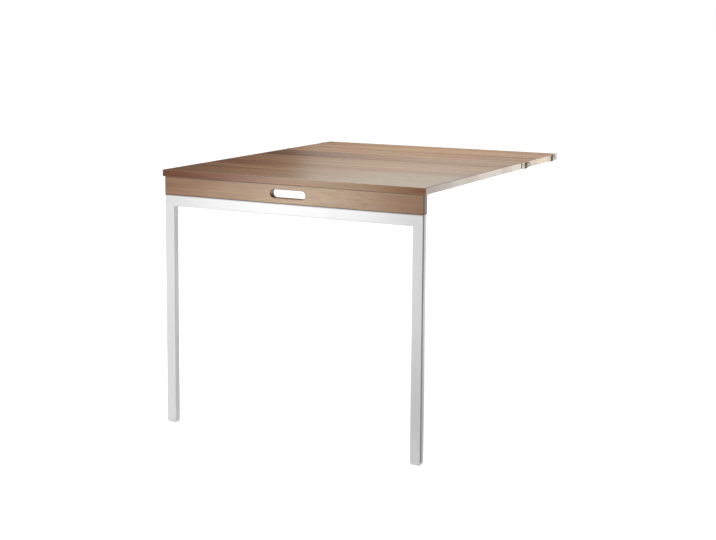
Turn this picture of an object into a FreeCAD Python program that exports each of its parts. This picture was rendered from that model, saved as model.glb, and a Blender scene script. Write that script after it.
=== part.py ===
import FreeCAD, Part
import math
import os

import Sketcher
from FreeCAD import Placement, Rotation, Vector

# A table that hangs on a wall: a fixed shelf with rung hooks, a drop leaf hinged to the shelf's
# front edge, and a leg frame hinged under the leaf's front apron.
#
# Millimetres. X runs along the seam, Y from the leaf's free edge to the wall, Z up from the floor.
# The origin is on the floor under the middle of the table.

# The driving sizes, which become the cells of the sheet "Sizes".
SIZES = {
    # boards
    "table_width": 780.0,
    "table_depth": 960.0,
    "table_height": 702.0,
    "leaf_length": 660.0,
    "board_thickness": 18.0,
    "board_edge_chamfer": 1.0,
    "seam_gap": 3.0,
    # front apron with its grip slot
    "apron_height": 50.0,
    "apron_thickness": 20.0,
    "apron_front_inset": 3.0,
    "apron_side_inset": 6.0,
    "apron_edge_radius": 1.0,
    "apron_heel_radius": 2.0,
    "grip_length": 104.0,
    "grip_height": 22.0,
    "grip_edge_radius": 1.5,
    # dowels between apron and leaf
    "dowel_radius": 4.0,
    "dowel_length": 28.0,
    "dowel_depth_in_leaf": 10.0,
    "dowel_clearance": 0.1,
    "dowel_end_inset": 60.0,
    # leg frame
    "tube_width": 30.0,
    "tube_depth": 20.0,
    "tube_wall": 1.5,
    "tube_corner_radius": 3.0,
    "stop_gap": 0.3,
    # foot plugs
    "foot_height": 8.0,
    "foot_rounding": 6.0,
    "foot_plug_length": 22.0,
    "foot_plug_wall": 2.0,
    "foot_plug_clearance": 0.2,
    # rung hooks
    "hook_width": 12.0,
    "hook_thickness": 2.0,
    "hook_bend_radius": 1.0,
    "hook_flange": 34.0,
    "hook_tip": 7.0,
    "hook_hole_margin": 8.5,
    "hook_hole_pitch": 13.6,
    "hook_top_drop": 0.5,
    "rung_radius": 3.0,
    "rung_clearance": 0.25,
    "front_hook_setback": 37.0,
    "rear_hook_setback": 43.0,
    # knuckles of both kinds of hinge
    "hinge_plate": 1.5,
    "hinge_pin_radius": 1.5,
    "hinge_pin_clearance": 0.05,
    "knuckle_gap": 0.3,
    "wing_clearance": 0.4,
    # the long hinge at the seam
    "leaf_hinge_inset": 70.0,
    "leaf_hinge_wing": 22.0,
    "leaf_hinge_end_margin": 40.0,
    # the two hinges of the leg frame
    "leg_hinge_length": 90.0,
    "leg_hinge_wing": 28.0,
    "leg_hinge_inset": 134.0,
    "leg_hinge_end_margin": 15.0,
    "leg_hinge_corner_radius": 4.0,
    "leg_pin_head_radius": 2.6,
    "leg_pin_head_length": 1.2,
    # countersunk screws
    "screw_head_radius": 3.2,
    "screw_shank_radius": 1.75,
    "screw_length": 14.0,
    "rail_screw_length": 8.0,
    "screw_clearance": 0.1,
    "pilot_spare": 0.5,
    # rest pads for the folded feet
    "pad_setback": 16.0,
    "pad_radius": 8.0,
    "pad_height": 3.0,
}

# How many there are in each row.
LEAF_KNUCKLES = 10
LEG_KNUCKLES = 5
LEAF_SCREWS = 6
LEG_SCREWS = 2
DOWELS = 4

# Lines and planes that follow from the driving sizes: the cells of the sheet "Places".
PLACES = {
    "half_width": "Sizes.table_width / 2",
    "front": "-Sizes.table_depth / 2",
    "wall": "Sizes.table_depth / 2",
    "seam": "Places.front + Sizes.leaf_length",
    "underside": "Sizes.table_height - Sizes.board_thickness",
    "leaf_board_length": "Sizes.leaf_length - Sizes.seam_gap / 2",
    "shelf_board_length": "Sizes.table_depth - Sizes.leaf_length - Sizes.seam_gap / 2",
    "apron_bottom": "Places.underside - Sizes.apron_height",
    "apron_back": "Places.front + Sizes.apron_front_inset + Sizes.apron_thickness",
    "apron_half_length": "Places.half_width - Sizes.apron_side_inset",
    "rail_top": "Places.apron_bottom - Sizes.stop_gap",
    "leg_centre": "Places.apron_half_length - Sizes.tube_width / 2",
    "tube_middle": "Places.apron_back - Sizes.tube_depth / 2",
    "leg_length": "Places.rail_top - Sizes.foot_height",
    "hook_inner_radius": "Sizes.rung_radius + Sizes.rung_clearance",
    "curl_inner": "Sizes.hinge_pin_radius + Sizes.hinge_pin_clearance",
    "curl_outer": "Places.curl_inner + Sizes.hinge_plate",
    "wing_edge": "Places.curl_outer + Sizes.wing_clearance",
    "leaf_axis_height": "Places.underside - Places.curl_outer",
    "leg_axis_depth": "Places.apron_back + Places.curl_outer",
    "leaf_hinge_length": "Sizes.table_width - 2 * Sizes.leaf_hinge_inset",
    "leaf_knuckle": f"Places.leaf_hinge_length / {LEAF_KNUCKLES}",
    "leg_knuckle": f"Sizes.leg_hinge_length / {LEG_KNUCKLES}",
    "leaf_screw_row": "(Places.wing_edge + Sizes.leaf_hinge_wing) / 2",
    "leg_screw_row": "(Places.wing_edge + Sizes.leg_hinge_wing) / 2",
    "leaf_screw_span": "Places.leaf_hinge_length - 2 * Sizes.leaf_hinge_end_margin",
    "leaf_screw_pitch": f"Places.leaf_screw_span / {LEAF_SCREWS - 1}",
    "leg_hinge_spread": "Places.apron_half_length - Sizes.leg_hinge_inset",
    "leg_screw_span": "Sizes.leg_hinge_length - 2 * Sizes.leg_hinge_end_margin",
    "leg_screw_pitch": f"Places.leg_screw_span / {LEG_SCREWS - 1}",
    "dowel_span": "2 * (Places.apron_half_length - Sizes.dowel_end_inset)",
    "dowel_pitch": f"Places.dowel_span / {DOWELS - 1}",
    "pilot_radius": "Sizes.screw_shank_radius + Sizes.screw_clearance",
    "pilot_depth": "Sizes.screw_length - Sizes.hinge_plate + Sizes.pilot_spare",
    "countersink": "Sizes.screw_head_radius + Sizes.screw_clearance",
    "pad_depth": "Places.seam - Sizes.pad_setback",
}

HALF_TURN = Rotation(Vector(0, 0, 1), 180)
# Millimetres within which a line counts as lying on a face, and the share of a size past which it
# counts as lying at its end.
NEAR = 0.1
OUTER_SHARE = 0.9

doc = FreeCAD.newDocument("WallTable")
pieces = []


# ---- the sheets -------------------------------------------------------------------------------


def fill_sheet(name, cells):
    """Makes a sheet with one aliased cell for each entry."""
    sheet = doc.addObject("Spreadsheet::Sheet", name)
    for row, (alias, content) in enumerate(cells.items(), start=1):
        sheet.set(f"A{row}", alias)
        sheet.set(f"B{row}", content)
        sheet.setAlias(f"B{row}", alias)
    return sheet


sizes = fill_sheet("Sizes", {alias: str(size) for alias, size in SIZES.items()})
places = fill_sheet("Places", {alias: "=" + formula for alias, formula in PLACES.items()})
doc.recompute()


def number(expression):
    """The present value of an expression of the sheets."""
    return float(places.evalExpression(expression))


# ---- sketches and features --------------------------------------------------------------------


def new_body(name):
    body = doc.addObject("PartDesign::Body", name)
    body.Label = name
    pieces.append(body)
    return body


def origin_feature(body, role):
    return next(f for f in body.Origin.OriginFeatures if f.Role == role)


def new_sketch(body, role, name, offset=None):
    """A sketch on one of the body's own origin planes, moved along the plane's normal."""
    sketch = body.newObject("Sketcher::SketchObject", name)
    sketch.AttachmentSupport = [(origin_feature(body, role), "")]
    sketch.MapMode = "FlatFace"
    if offset is not None:
        sketch.setExpression("AttachmentOffset.Base.z", offset)
    return sketch


def bind(sketch, kind, element, point, expression):
    """Ties a point's distance from the sketch's origin, or a radius, to an expression."""
    value = number(expression)
    if kind == "Radius":
        constraint = Sketcher.Constraint(kind, element, value)
    else:
        constraint = Sketcher.Constraint(kind, -1, 1, element, point, value)
    index = sketch.addConstraint(constraint)
    name = f"{kind}_{element}_{point}"
    sketch.renameConstraint(index, name)
    sketch.setExpression("Constraints." + name, expression)


def outline(sketch, corners, arcs=None):
    """Draws a closed outline through corners, each a pair of expressions.

    arcs turns the side that starts at a corner into an arc: {corner: (centre x, centre y, turn)},
    where turn is 1 for an arc that runs anticlockwise and -1 for one that runs clockwise.
    """
    arcs = arcs or {}
    spots = [Vector(number(x), number(y), 0) for x, y in corners]
    first = sketch.GeometryCount
    starts = []
    ends = []
    for index, start in enumerate(spots):
        end = spots[(index + 1) % len(spots)]
        if index not in arcs:
            sketch.addGeometry(Part.LineSegment(start, end), False)
            starts.append(1)
            ends.append(2)
            continue
        centre_x, centre_y, turn = arcs[index]
        centre = Vector(number(centre_x), number(centre_y), 0)
        low, high = (start, end) if turn > 0 else (end, start)
        angles = [math.atan2(spot.y - centre.y, spot.x - centre.x) for spot in (low, high)]
        circle = Part.Circle(centre, Vector(0, 0, 1), (start - centre).Length)
        sketch.addGeometry(Part.ArcOfCircle(circle, *angles), False)
        starts.append(1 if turn > 0 else 2)
        ends.append(2 if turn > 0 else 1)
    for index in range(len(spots)):
        after = (index + 1) % len(spots)
        sketch.addConstraint(
            Sketcher.Constraint("Coincident", first + index, ends[index], first + after, starts[after])
        )
    for index, (x, y) in enumerate(corners):
        bind(sketch, "DistanceX", first + index, starts[index], x)
        bind(sketch, "DistanceY", first + index, starts[index], y)
        if index in arcs:
            # The centre is already held to the chord's bisector, so one coordinate settles it.
            chord = spots[(index + 1) % len(spots)] - spots[index]
            steep = abs(chord.y) > abs(chord.x)
            kind = "DistanceX" if steep else "DistanceY"
            bind(sketch, kind, first + index, 3, arcs[index][0 if steep else 1])


def rectangle(sketch, left, bottom, right, top):
    outline(sketch, [(left, bottom), (right, bottom), (right, top), (left, top)])


def rounded_rectangle(sketch, half_x, half_y, radius):
    """Draws a rectangle with round corners about the sketch's origin."""
    near_x = f"({half_x}) - ({radius})"
    near_y = f"({half_y}) - ({radius})"
    corners = [
        (f"-({near_x})", f"-({half_y})"),
        (near_x, f"-({half_y})"),
        (half_x, f"-({near_y})"),
        (half_x, near_y),
        (near_x, half_y),
        (f"-({near_x})", half_y),
        (f"-({half_x})", near_y),
        (f"-({half_x})", f"-({near_y})"),
    ]
    arcs = {
        1: (near_x, f"-({near_y})", 1),
        3: (near_x, near_y, 1),
        5: (f"-({near_x})", near_y, 1),
        7: (f"-({near_x})", f"-({near_y})", 1),
    }
    outline(sketch, corners, arcs)


def circles(sketch, spots, radius):
    """Draws equal circles at spots, each a pair of expressions."""
    for x, y in spots:
        circle = Part.Circle(Vector(number(x), number(y), 0), Vector(0, 0, 1), number(radius))
        element = sketch.addGeometry(circle, False)
        bind(sketch, "DistanceX", element, 3, x)
        bind(sketch, "DistanceY", element, 3, y)
        bind(sketch, "Radius", element, 0, radius)


def pad(body, sketch, length, symmetric=False, reverse=False):
    feature = body.newObject("PartDesign::Pad", sketch.Name + "_pad")
    feature.Profile = sketch
    feature.setExpression("Length", length)
    feature.Reversed = reverse
    if symmetric:
        feature.SideType = "Symmetric"
    body.Tip = feature
    return feature


def pocket(body, sketch, depth=None, along_normal=False):
    """Cuts a sketch into the body: to a depth, or right through both ways where there is none."""
    doc.recompute()
    before = body.Shape.Volume
    feature = body.newObject("PartDesign::Pocket", sketch.Name + "_pocket")
    feature.Profile = sketch
    if depth is None:
        feature.Type = "ThroughAll"
        feature.SideType = "Symmetric"
    else:
        feature.setExpression("Length", depth)
        feature.Reversed = along_normal
    body.Tip = feature
    doc.recompute()
    if feature.Shape.Volume >= before:
        raise RuntimeError(f"{sketch.Name} cut nothing from {body.Name}")
    return feature


def countersunk_holes(body, sketch, along_normal):
    """Drills a countersunk screw hole through the plate at each circle of a sketch."""
    doc.recompute()
    before = body.Shape.Volume
    feature = body.newObject("PartDesign::Hole", sketch.Name + "_holes")
    feature.Profile = sketch
    doc.recompute()
    feature.DepthType = "ThroughAll"
    feature.HoleCutType = "Countersink"
    feature.HoleCutCustomValues = True
    feature.HoleCutCountersinkAngle = 90
    feature.setExpression("Diameter", "2 * Places.pilot_radius")
    feature.setExpression("HoleCutDiameter", "2 * Places.countersink")
    feature.Reversed = along_normal
    body.Tip = feature
    doc.recompute()
    if feature.Shape.Volume >= before:
        raise RuntimeError(f"{sketch.Name} drilled nothing in {body.Name}")
    return feature


def ease(body, feature, chosen, size, kind="PartDesign::Fillet", size_name="Radius"):
    """Rounds or chamfers the edges of a feature for which chosen(edge) is true."""
    doc.recompute()
    edges = feature.Shape.Edges
    names = [f"Edge{place}" for place, edge in enumerate(edges, start=1) if chosen(edge)]
    eased = body.newObject(kind, feature.Name + "_eased")
    eased.Base = (feature, names)
    eased.setExpression(size_name, size)
    body.Tip = eased
    doc.recompute()
    return eased


def repeat(body, feature, span, count):
    """Repeats a feature along the body's X axis, with the last copy at the span's end."""
    pattern = body.newObject("PartDesign::LinearPattern", feature.Name + "_row")
    pattern.Originals = [feature]
    pattern.Direction = (origin_feature(body, "X_Axis"), [""])
    pattern.setExpression("Length", span)
    pattern.Occurrences = count
    body.Tip = pattern
    doc.recompute()
    return pattern


def seat(piece, x, y, z, turn=None):
    """Places a piece in the table, by three expressions and a rotation."""
    piece.Placement = Placement(Vector(), turn or Rotation())
    for axis, expression in zip("xyz", (x, y, z)):
        piece.setExpression("Placement.Base." + axis, expression)


# ---- boards -----------------------------------------------------------------------------------


def board(name, length, start):
    """A veneered board with all its edges eased, its underside at the body's z = 0."""
    body = new_body(name)
    sketch = new_sketch(body, "XY_Plane", name + "_outline")
    rectangle(sketch, "-Places.half_width", "0", "Places.half_width", length)
    slab = pad(body, sketch, "Sizes.board_thickness")
    ease(body, slab, lambda edge: True, "Sizes.board_edge_chamfer", "PartDesign::Chamfer", "Size")
    seat(body, "0", start, "Places.underside")
    return body


def even_row(count, pitch):
    """X positions of a row centred on the table's middle."""
    return [f"{index - (count - 1) / 2} * {pitch}" for index in range(count)]


def leg_hinge_screw_row():
    """X positions of the screws along both leg hinges."""
    return [
        f"{side} * Places.leg_hinge_spread + {step}"
        for side in (-1, 1)
        for step in even_row(LEG_SCREWS, "Places.leg_screw_pitch")
    ]


HOOKS = {
    "front_left_rung_hook": (-1, "Places.seam + Sizes.front_hook_setback"),
    "front_right_rung_hook": (1, "Places.seam + Sizes.front_hook_setback"),
    "rear_left_rung_hook": (-1, "Places.wall - Sizes.rear_hook_setback"),
    "rear_right_rung_hook": (1, "Places.wall - Sizes.rear_hook_setback"),
}
FIRST_HOOK_HOLE = "-Sizes.hook_flange + Sizes.hook_hole_margin"
HOOK_HOLES = [FIRST_HOOK_HOLE, FIRST_HOOK_HOLE + " + Sizes.hook_hole_pitch"]
LEAF_SCREW_XS = even_row(LEAF_SCREWS, "Places.leaf_screw_pitch")
DOWEL_XS = even_row(DOWELS, "Places.dowel_pitch")


def fixed_shelf():
    """The board that stays on the wall, with pilot holes for the hinge and the hooks."""
    start = "Places.seam + Sizes.seam_gap / 2"
    body = board("fixed_shelf", "Places.shelf_board_length", start)
    pilots = new_sketch(body, "XY_Plane", "shelf_pilots")
    spots = [(x, "Places.leaf_screw_row - Sizes.seam_gap / 2") for x in LEAF_SCREW_XS]
    for side, depth in HOOKS.values():
        for hole in HOOK_HOLES:
            spots.append((f"{side} * (Places.half_width + {hole})", f"{depth} - ({start})"))
    circles(pilots, spots, "Places.pilot_radius")
    pocket(body, pilots, "Places.pilot_depth", along_normal=True)


def drop_leaf():
    """The board that swings down, with pilot holes and the upper halves of the dowel holes."""
    body = board("drop_leaf", "Places.leaf_board_length", "Places.front")
    pilots = new_sketch(body, "XY_Plane", "leaf_pilots")
    spots = [(x, "Sizes.leaf_length - Places.leaf_screw_row") for x in LEAF_SCREW_XS]
    circles(pilots, spots, "Places.pilot_radius")
    pocket(body, pilots, "Places.pilot_depth", along_normal=True)
    dowels = new_sketch(body, "XY_Plane", "leaf_dowel_holes")
    middle = "Sizes.apron_front_inset + Sizes.apron_thickness / 2"
    circles(dowels, [(x, middle) for x in DOWEL_XS], "Sizes.dowel_radius + Sizes.dowel_clearance")
    pocket(body, dowels, "Sizes.dowel_depth_in_leaf + Sizes.pilot_spare", along_normal=True)


def apron():
    """The upright board under the leaf's front edge, with a round-ended slot for the hand."""
    body = new_body("apron")
    sketch = new_sketch(body, "XZ_Plane", "apron_outline")
    half_height = "Sizes.apron_height / 2"
    half_thickness = "Sizes.apron_thickness / 2"
    rectangle(
        sketch, "-Places.apron_half_length", f"-{half_height}", "Places.apron_half_length", half_height
    )
    slab = pad(body, sketch, "Sizes.apron_thickness", symmetric=True)
    doc.recompute()
    bottom = -number(half_height)
    back = number(half_thickness)

    def heel(edge):
        """The lower back edge, which the hinge curls turn past."""
        middle = edge.CenterOfMass
        return abs(middle.z - bottom) < NEAR and abs(middle.y - back) < NEAR

    def front_edge(edge):
        """The edges of the face that shows."""
        return abs(edge.CenterOfMass.y + back) < NEAR

    heeled = ease(body, slab, heel, "Sizes.apron_heel_radius")
    ease(body, heeled, front_edge, "Sizes.apron_edge_radius")

    slot = new_sketch(body, "XZ_Plane", "grip_slot")
    reach = "(Sizes.grip_length - Sizes.grip_height) / 2"
    rise = "Sizes.grip_height / 2"
    corners = [(f"-{reach}", f"-{rise}"), (reach, f"-{rise}"), (reach, rise), (f"-{reach}", rise)]
    outline(slot, corners, {1: (reach, "0", 1), 3: (f"-{reach}", "0", 1)})
    cut = pocket(body, slot)

    def slot_edge(edge):
        """The slot's outline on both faces."""
        box = edge.BoundBox
        flat = box.YLength < NEAR
        inside = max(abs(box.XMin), abs(box.XMax)) < number("Sizes.grip_length / 2") + NEAR
        return flat and inside and abs(edge.CenterOfMass.y) > OUTER_SHARE * back

    ease(body, cut, slot_edge, "Sizes.grip_edge_radius")

    dowels = new_sketch(body, "XY_Plane", "apron_dowel_holes", half_height)
    circles(dowels, [(x, "0") for x in DOWEL_XS], "Sizes.dowel_radius + Sizes.dowel_clearance")
    pocket(body, dowels, "Sizes.dowel_length - Sizes.dowel_depth_in_leaf + Sizes.pilot_spare")

    pilots = new_sketch(body, "XZ_Plane", "apron_pilots", f"-{half_thickness}")
    spots = [(x, f"Places.leg_screw_row - {half_height}") for x in leg_hinge_screw_row()]
    circles(pilots, spots, "Places.pilot_radius")
    pocket(body, pilots, "Places.pilot_depth", along_normal=True)
    seat(
        body,
        "0",
        f"Places.apron_back - {half_thickness}",
        f"Places.apron_bottom + {half_height}",
    )


# ---- hooks ----------------------------------------------------------------------------------


def rung_hook(name, side, depth):
    """A bent strip: a flange under the board, a riser up its end and a hook over the rung."""
    body = new_body(name)
    sketch = new_sketch(body, "XZ_Plane", name + "_strip")
    plate = "Sizes.hook_thickness"
    bend = "Sizes.hook_bend_radius"
    throat = "Places.hook_inner_radius"
    middle = f"({plate} + {throat})"
    crown = f"(Sizes.board_thickness - Sizes.hook_top_drop - {throat} - {plate})"
    tip = f"({crown} - Sizes.hook_tip)"
    inner_tip = f"({plate} + 2 * {throat})"
    outer_tip = f"(2 * {plate} + 2 * {throat})"
    corners = [
        ("-Sizes.hook_flange", f"-{plate}"),
        (f"-{bend}", f"-{plate}"),
        (plate, bend),
        (plate, crown),
        (inner_tip, crown),
        (inner_tip, tip),
        (outer_tip, tip),
        (outer_tip, crown),
        ("0", crown),
        ("0", bend),
        (f"-{bend}", "0"),
        ("-Sizes.hook_flange", "0"),
    ]
    arcs = {
        1: (f"-{bend}", bend, 1),
        3: (middle, crown, -1),
        7: (middle, crown, 1),
        9: (f"-{bend}", bend, -1),
    }
    outline(sketch, corners, arcs)
    pad(body, sketch, "Sizes.hook_width", symmetric=True)
    holes = new_sketch(body, "XY_Plane", name + "_screws", f"-{plate}")
    circles(holes, [(hole, "0") for hole in HOOK_HOLES], "Places.pilot_radius")
    countersunk_holes(body, holes, along_normal=True)
    turn = HALF_TURN if side < 0 else None
    seat(body, f"{side} * Places.half_width", depth, "Places.underside", turn)


# ---- hinges -----------------------------------------------------------------------------------

# A wing is made with the pin's axis on the body's X axis, its plate towards +Y and the face that
# is screwed down towards +Z.
UPWARD_WING = Rotation(Vector(1, 0, 0), 90)
DOWNWARD_WING = Rotation(Vector(0, 1, 0), 180).multiply(UPWARD_WING)


def hinge_wing(name, length, width, knuckle, slots, screw_xs, screw_row, corner=None):
    """One wing of a butt hinge: a plate whose edge is rolled into curls at every other knuckle."""
    body = new_body(name)
    plate = new_sketch(body, "YZ_Plane", name + "_plate")
    rectangle(plate, "Places.wing_edge", "Places.curl_inner", width, "Places.curl_outer")
    sheet = pad(body, plate, length, symmetric=True)
    if corner:
        outer = number(width)

        def outer_corner(edge):
            """The two corners of the plate away from the pin."""
            return edge.BoundBox.ZLength > NEAR and edge.CenterOfMass.y > OUTER_SHARE * outer

        ease(body, sheet, outer_corner, corner)
    start = f"-({length}) / 2 + {slots[0]} * {knuckle} + Sizes.knuckle_gap / 2"
    curl = new_sketch(body, "YZ_Plane", name + "_curl", start)
    open_angle = 15
    cosine = f"cos({open_angle} deg)"
    sine = f"sin({open_angle} deg)"
    join = "Places.wing_edge + Sizes.hinge_plate"
    corners = [
        ("0", "Places.curl_outer"),
        (f"Places.curl_outer * {cosine}", f"Places.curl_outer * {sine}"),
        (f"Places.curl_inner * {cosine}", f"Places.curl_inner * {sine}"),
        ("0", "Places.curl_inner"),
        (join, "Places.curl_inner"),
        (join, "Places.curl_outer"),
    ]
    outline(curl, corners, {0: ("0", "0", 1), 2: ("0", "0", -1)})
    first = pad(body, curl, f"{knuckle} - Sizes.knuckle_gap")
    doc.recompute()
    repeat(body, first, f"{slots[-1] - slots[0]} * {knuckle}", len(slots))
    holes = new_sketch(body, "XY_Plane", name + "_screws", "Places.curl_inner")
    circles(holes, [(x, screw_row) for x in screw_xs], "Places.pilot_radius")
    countersunk_holes(body, holes, along_normal=True)
    return body


def leaf_hinge():
    """The long hinge under the seam: two alike wings, turned to face each other, and a pin."""
    for name, turn in (("leaf_hinge_shelf_wing", None), ("leaf_hinge_leaf_wing", HALF_TURN)):
        wing = hinge_wing(
            name,
            "Places.leaf_hinge_length",
            "Sizes.leaf_hinge_wing",
            "Places.leaf_knuckle",
            range(0, LEAF_KNUCKLES, 2),
            LEAF_SCREW_XS,
            "Places.leaf_screw_row",
        )
        seat(wing, "0", "Places.seam", "Places.leaf_axis_height", turn)
    hinge_pin("leaf_hinge_pin", "Places.leaf_hinge_length", "0", "Places.seam", "Places.leaf_axis_height")


def leg_hinges():
    """The two hinges between the apron's back and the top rail's back."""
    for side, sign in (("left", -1), ("right", 1)):
        x = f"{sign} * Places.leg_hinge_spread"
        for part, slots, turn in (
            ("apron", range(0, LEG_KNUCKLES, 2), UPWARD_WING),
            ("rail", range(1, LEG_KNUCKLES, 2), DOWNWARD_WING),
        ):
            wing = hinge_wing(
                f"{side}_leg_hinge_{part}_wing",
                "Sizes.leg_hinge_length",
                "Sizes.leg_hinge_wing",
                "Places.leg_knuckle",
                slots,
                even_row(LEG_SCREWS, "Places.leg_screw_pitch"),
                "Places.leg_screw_row",
                "Sizes.leg_hinge_corner_radius",
            )
            seat(wing, x, "Places.leg_axis_depth", "Places.apron_bottom", turn)
        hinge_pin(
            f"{side}_leg_hinge_pin",
            "Sizes.leg_hinge_length",
            x,
            "Places.leg_axis_depth",
            "Places.apron_bottom",
            "Sizes.leg_pin_head_radius",
        )


def hinge_pin(name, length, x, y, z, head=None):
    """A round pin along the knuckles, turned from a half outline, with a head pressed at each end."""
    body = new_body(name)
    sketch = new_sketch(body, "XZ_Plane", name + "_half")
    half = f"({length}) / 2"
    shaft = "Sizes.hinge_pin_radius"
    if head is None:
        rectangle(sketch, f"-{half}", "0", half, shaft)
    else:
        end = f"({half} + Sizes.leg_pin_head_length)"
        corners = [
            (f"-{end}", "0"),
            (end, "0"),
            (end, head),
            (half, head),
            (half, shaft),
            (f"-{half}", shaft),
            (f"-{half}", head),
            (f"-{end}", head),
        ]
        outline(sketch, corners)
    turned = body.newObject("PartDesign::Revolution", name + "_turned")
    turned.Profile = sketch
    turned.ReferenceAxis = (sketch, ["H_Axis"])
    turned.Angle = 360
    body.Tip = turned
    seat(body, x, y, z)


# ---- leg frame --------------------------------------------------------------------------------


def tube(name, plane, length, symmetric):
    """A rectangular tube with round corners, its middle on the plane's normal through the origin."""
    body = new_body(name)
    sketch = new_sketch(body, plane, name + "_section")
    narrow = "Sizes.tube_depth / 2"
    wide = "Sizes.tube_width / 2"
    halves = (narrow, wide) if plane == "YZ_Plane" else (wide, narrow)
    rounded_rectangle(sketch, halves[0], halves[1], "Sizes.tube_corner_radius")
    inner = [f"{half} - Sizes.tube_wall" for half in halves]
    rounded_rectangle(sketch, inner[0], inner[1], "Sizes.tube_corner_radius - Sizes.tube_wall")
    pad(body, sketch, length, symmetric=symmetric)
    doc.recompute()
    return body


def mitre(body, name, corners):
    """Cuts a tube's end at 45 degrees by a triangle that runs right through it."""
    sketch = new_sketch(body, "XZ_Plane", name)
    outline(sketch, corners)
    pocket(body, sketch)


def top_rail():
    """The tube under the apron, mitred at both ends, with the hinge screws' holes in its back."""
    body = tube("top_rail", "YZ_Plane", "2 * Places.apron_half_length", symmetric=True)
    wide = "Sizes.tube_width"
    reach = f"1.5 * {wide}"
    for side, sign in (("left", "-"), ("right", "")):
        beyond = f"(Places.apron_half_length + {wide})"
        inside = f"(Places.apron_half_length - 2 * {wide})"
        corners = [
            (f"{sign}{beyond}", reach),
            (f"{sign}{beyond}", f"-{reach}"),
            (f"{sign}{inside}", f"-{reach}"),
        ]
        mitre(body, f"rail_{side}_mitre", corners)
    back = new_sketch(body, "XZ_Plane", "rail_screw_holes", "-Sizes.tube_depth / 2")
    row = f"{wide} / 2 + Sizes.stop_gap - Places.leg_screw_row"
    circles(back, [(x, row) for x in leg_hinge_screw_row()], "Places.pilot_radius")
    pocket(body, back, "2 * Sizes.tube_wall", along_normal=True)
    seat(body, "0", "Places.tube_middle", f"Places.rail_top - {wide} / 2")


def leg(name, sign):
    """An upright tube, mitred at its top to meet the rail."""
    body = tube(name, "XY_Plane", "Places.leg_length", symmetric=False)
    wide = "Sizes.tube_width"
    reach = f"1.5 * {wide}"
    corners = [
        (reach, f"Places.leg_length + {wide}"),
        (f"-{reach}", f"Places.leg_length + {wide}"),
        (f"-{reach}", f"Places.leg_length - 2 * {wide}"),
    ]
    mitre(body, name + "_mitre", corners)
    turn = HALF_TURN if sign < 0 else None
    seat(body, f"{sign} * Places.leg_centre", "Places.tube_middle", "Sizes.foot_height", turn)


def foot(name, sign):
    """A plastic plug with a rounded foot below the tube and a hollow stem inside the tube."""
    body = new_body(name)
    block = new_sketch(body, "XZ_Plane", name + "_block")
    half = "Sizes.tube_width / 2"
    rounding = "Sizes.foot_rounding"
    corners = [
        (f"-({half} - {rounding})", "0"),
        (f"{half} - {rounding}", "0"),
        (half, rounding),
        (half, "Sizes.foot_height"),
        (f"-{half}", "Sizes.foot_height"),
        (f"-{half}", rounding),
    ]
    arcs = {
        1: (f"{half} - {rounding}", rounding, 1),
        5: (f"-({half} - {rounding})", rounding, 1),
    }
    outline(block, corners, arcs)
    solid = pad(body, block, "Sizes.tube_depth", symmetric=True)
    doc.recompute()
    top = number("Sizes.foot_height")

    def face_edge(edge):
        """The edges of the front and back faces, apart from the ones under the tube."""
        on_face = edge.BoundBox.YLength < NEAR
        return on_face and edge.CenterOfMass.z < top - NEAR

    ease(body, solid, face_edge, "Sizes.tube_corner_radius")
    stem = new_sketch(body, "XY_Plane", name + "_stem", "Sizes.foot_height")
    play = "Sizes.tube_wall - Sizes.foot_plug_clearance"
    halves = [f"Sizes.tube_width / 2 - {play}", f"Sizes.tube_depth / 2 - {play}"]
    radius = f"Sizes.tube_corner_radius - {play}"
    rounded_rectangle(stem, halves[0], halves[1], radius)
    wall = "Sizes.foot_plug_wall"
    rectangle(
        stem,
        f"-({halves[0]} - {wall})",
        f"-({halves[1]} - {wall})",
        f"{halves[0]} - {wall}",
        f"{halves[1]} - {wall}",
    )
    pad(body, stem, "Sizes.foot_plug_length")
    seat(body, f"{sign} * Places.leg_centre", "Places.tube_middle", "0")


# ---- screws, dowels and pads, each kind a group of alike solids ---------------------------------


def group(name, solids, x="0", y="0", z="0", turn=None):
    """One piece made of separate alike solids."""
    piece = doc.addObject("Part::Feature", name)
    piece.Label = name
    piece.Shape = Part.makeCompound(solids)
    seat(piece, x, y, z, turn)
    pieces.append(piece)


def turned_solid(half_outline, spot, direction):
    """Turns a half outline of (radius, distance) pairs about a direction through a spot."""
    points = [Vector(radius, 0, distance) for radius, distance in half_outline]
    face = Part.Face(Part.makePolygon(points + points[:1]))
    solid = face.revolve(Vector(), Vector(0, 0, 1), 360)
    solid.Placement = Placement(spot, Rotation(Vector(0, 0, 1), direction))
    return solid


def screw(spot, direction, length="Sizes.screw_length"):
    """A countersunk screw whose head is flush at a spot and whose shank follows a direction."""
    head = number("Sizes.screw_head_radius")
    shank = number("Sizes.screw_shank_radius")
    end = number(length)
    half_outline = [
        (0, 0),
        (head, 0),
        (shank, head - shank),
        (shank, end),
        (0, end),
    ]
    return turned_solid(half_outline, spot, direction)


def leaf_hinge_screws():
    """The screws of the long hinge's two wings, each in its wing's own frame."""
    spots = [
        Vector(number(x), number("Places.leaf_screw_row"), number("Places.curl_inner"))
        for x in LEAF_SCREW_XS
    ]
    for name, turn in (("shelf_wing_screws", None), ("leaf_wing_screws", HALF_TURN)):
        screws = [screw(spot, Vector(0, 0, 1)) for spot in spots]
        group(name, screws, "0", "Places.seam", "Places.leaf_axis_height", turn)


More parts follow.
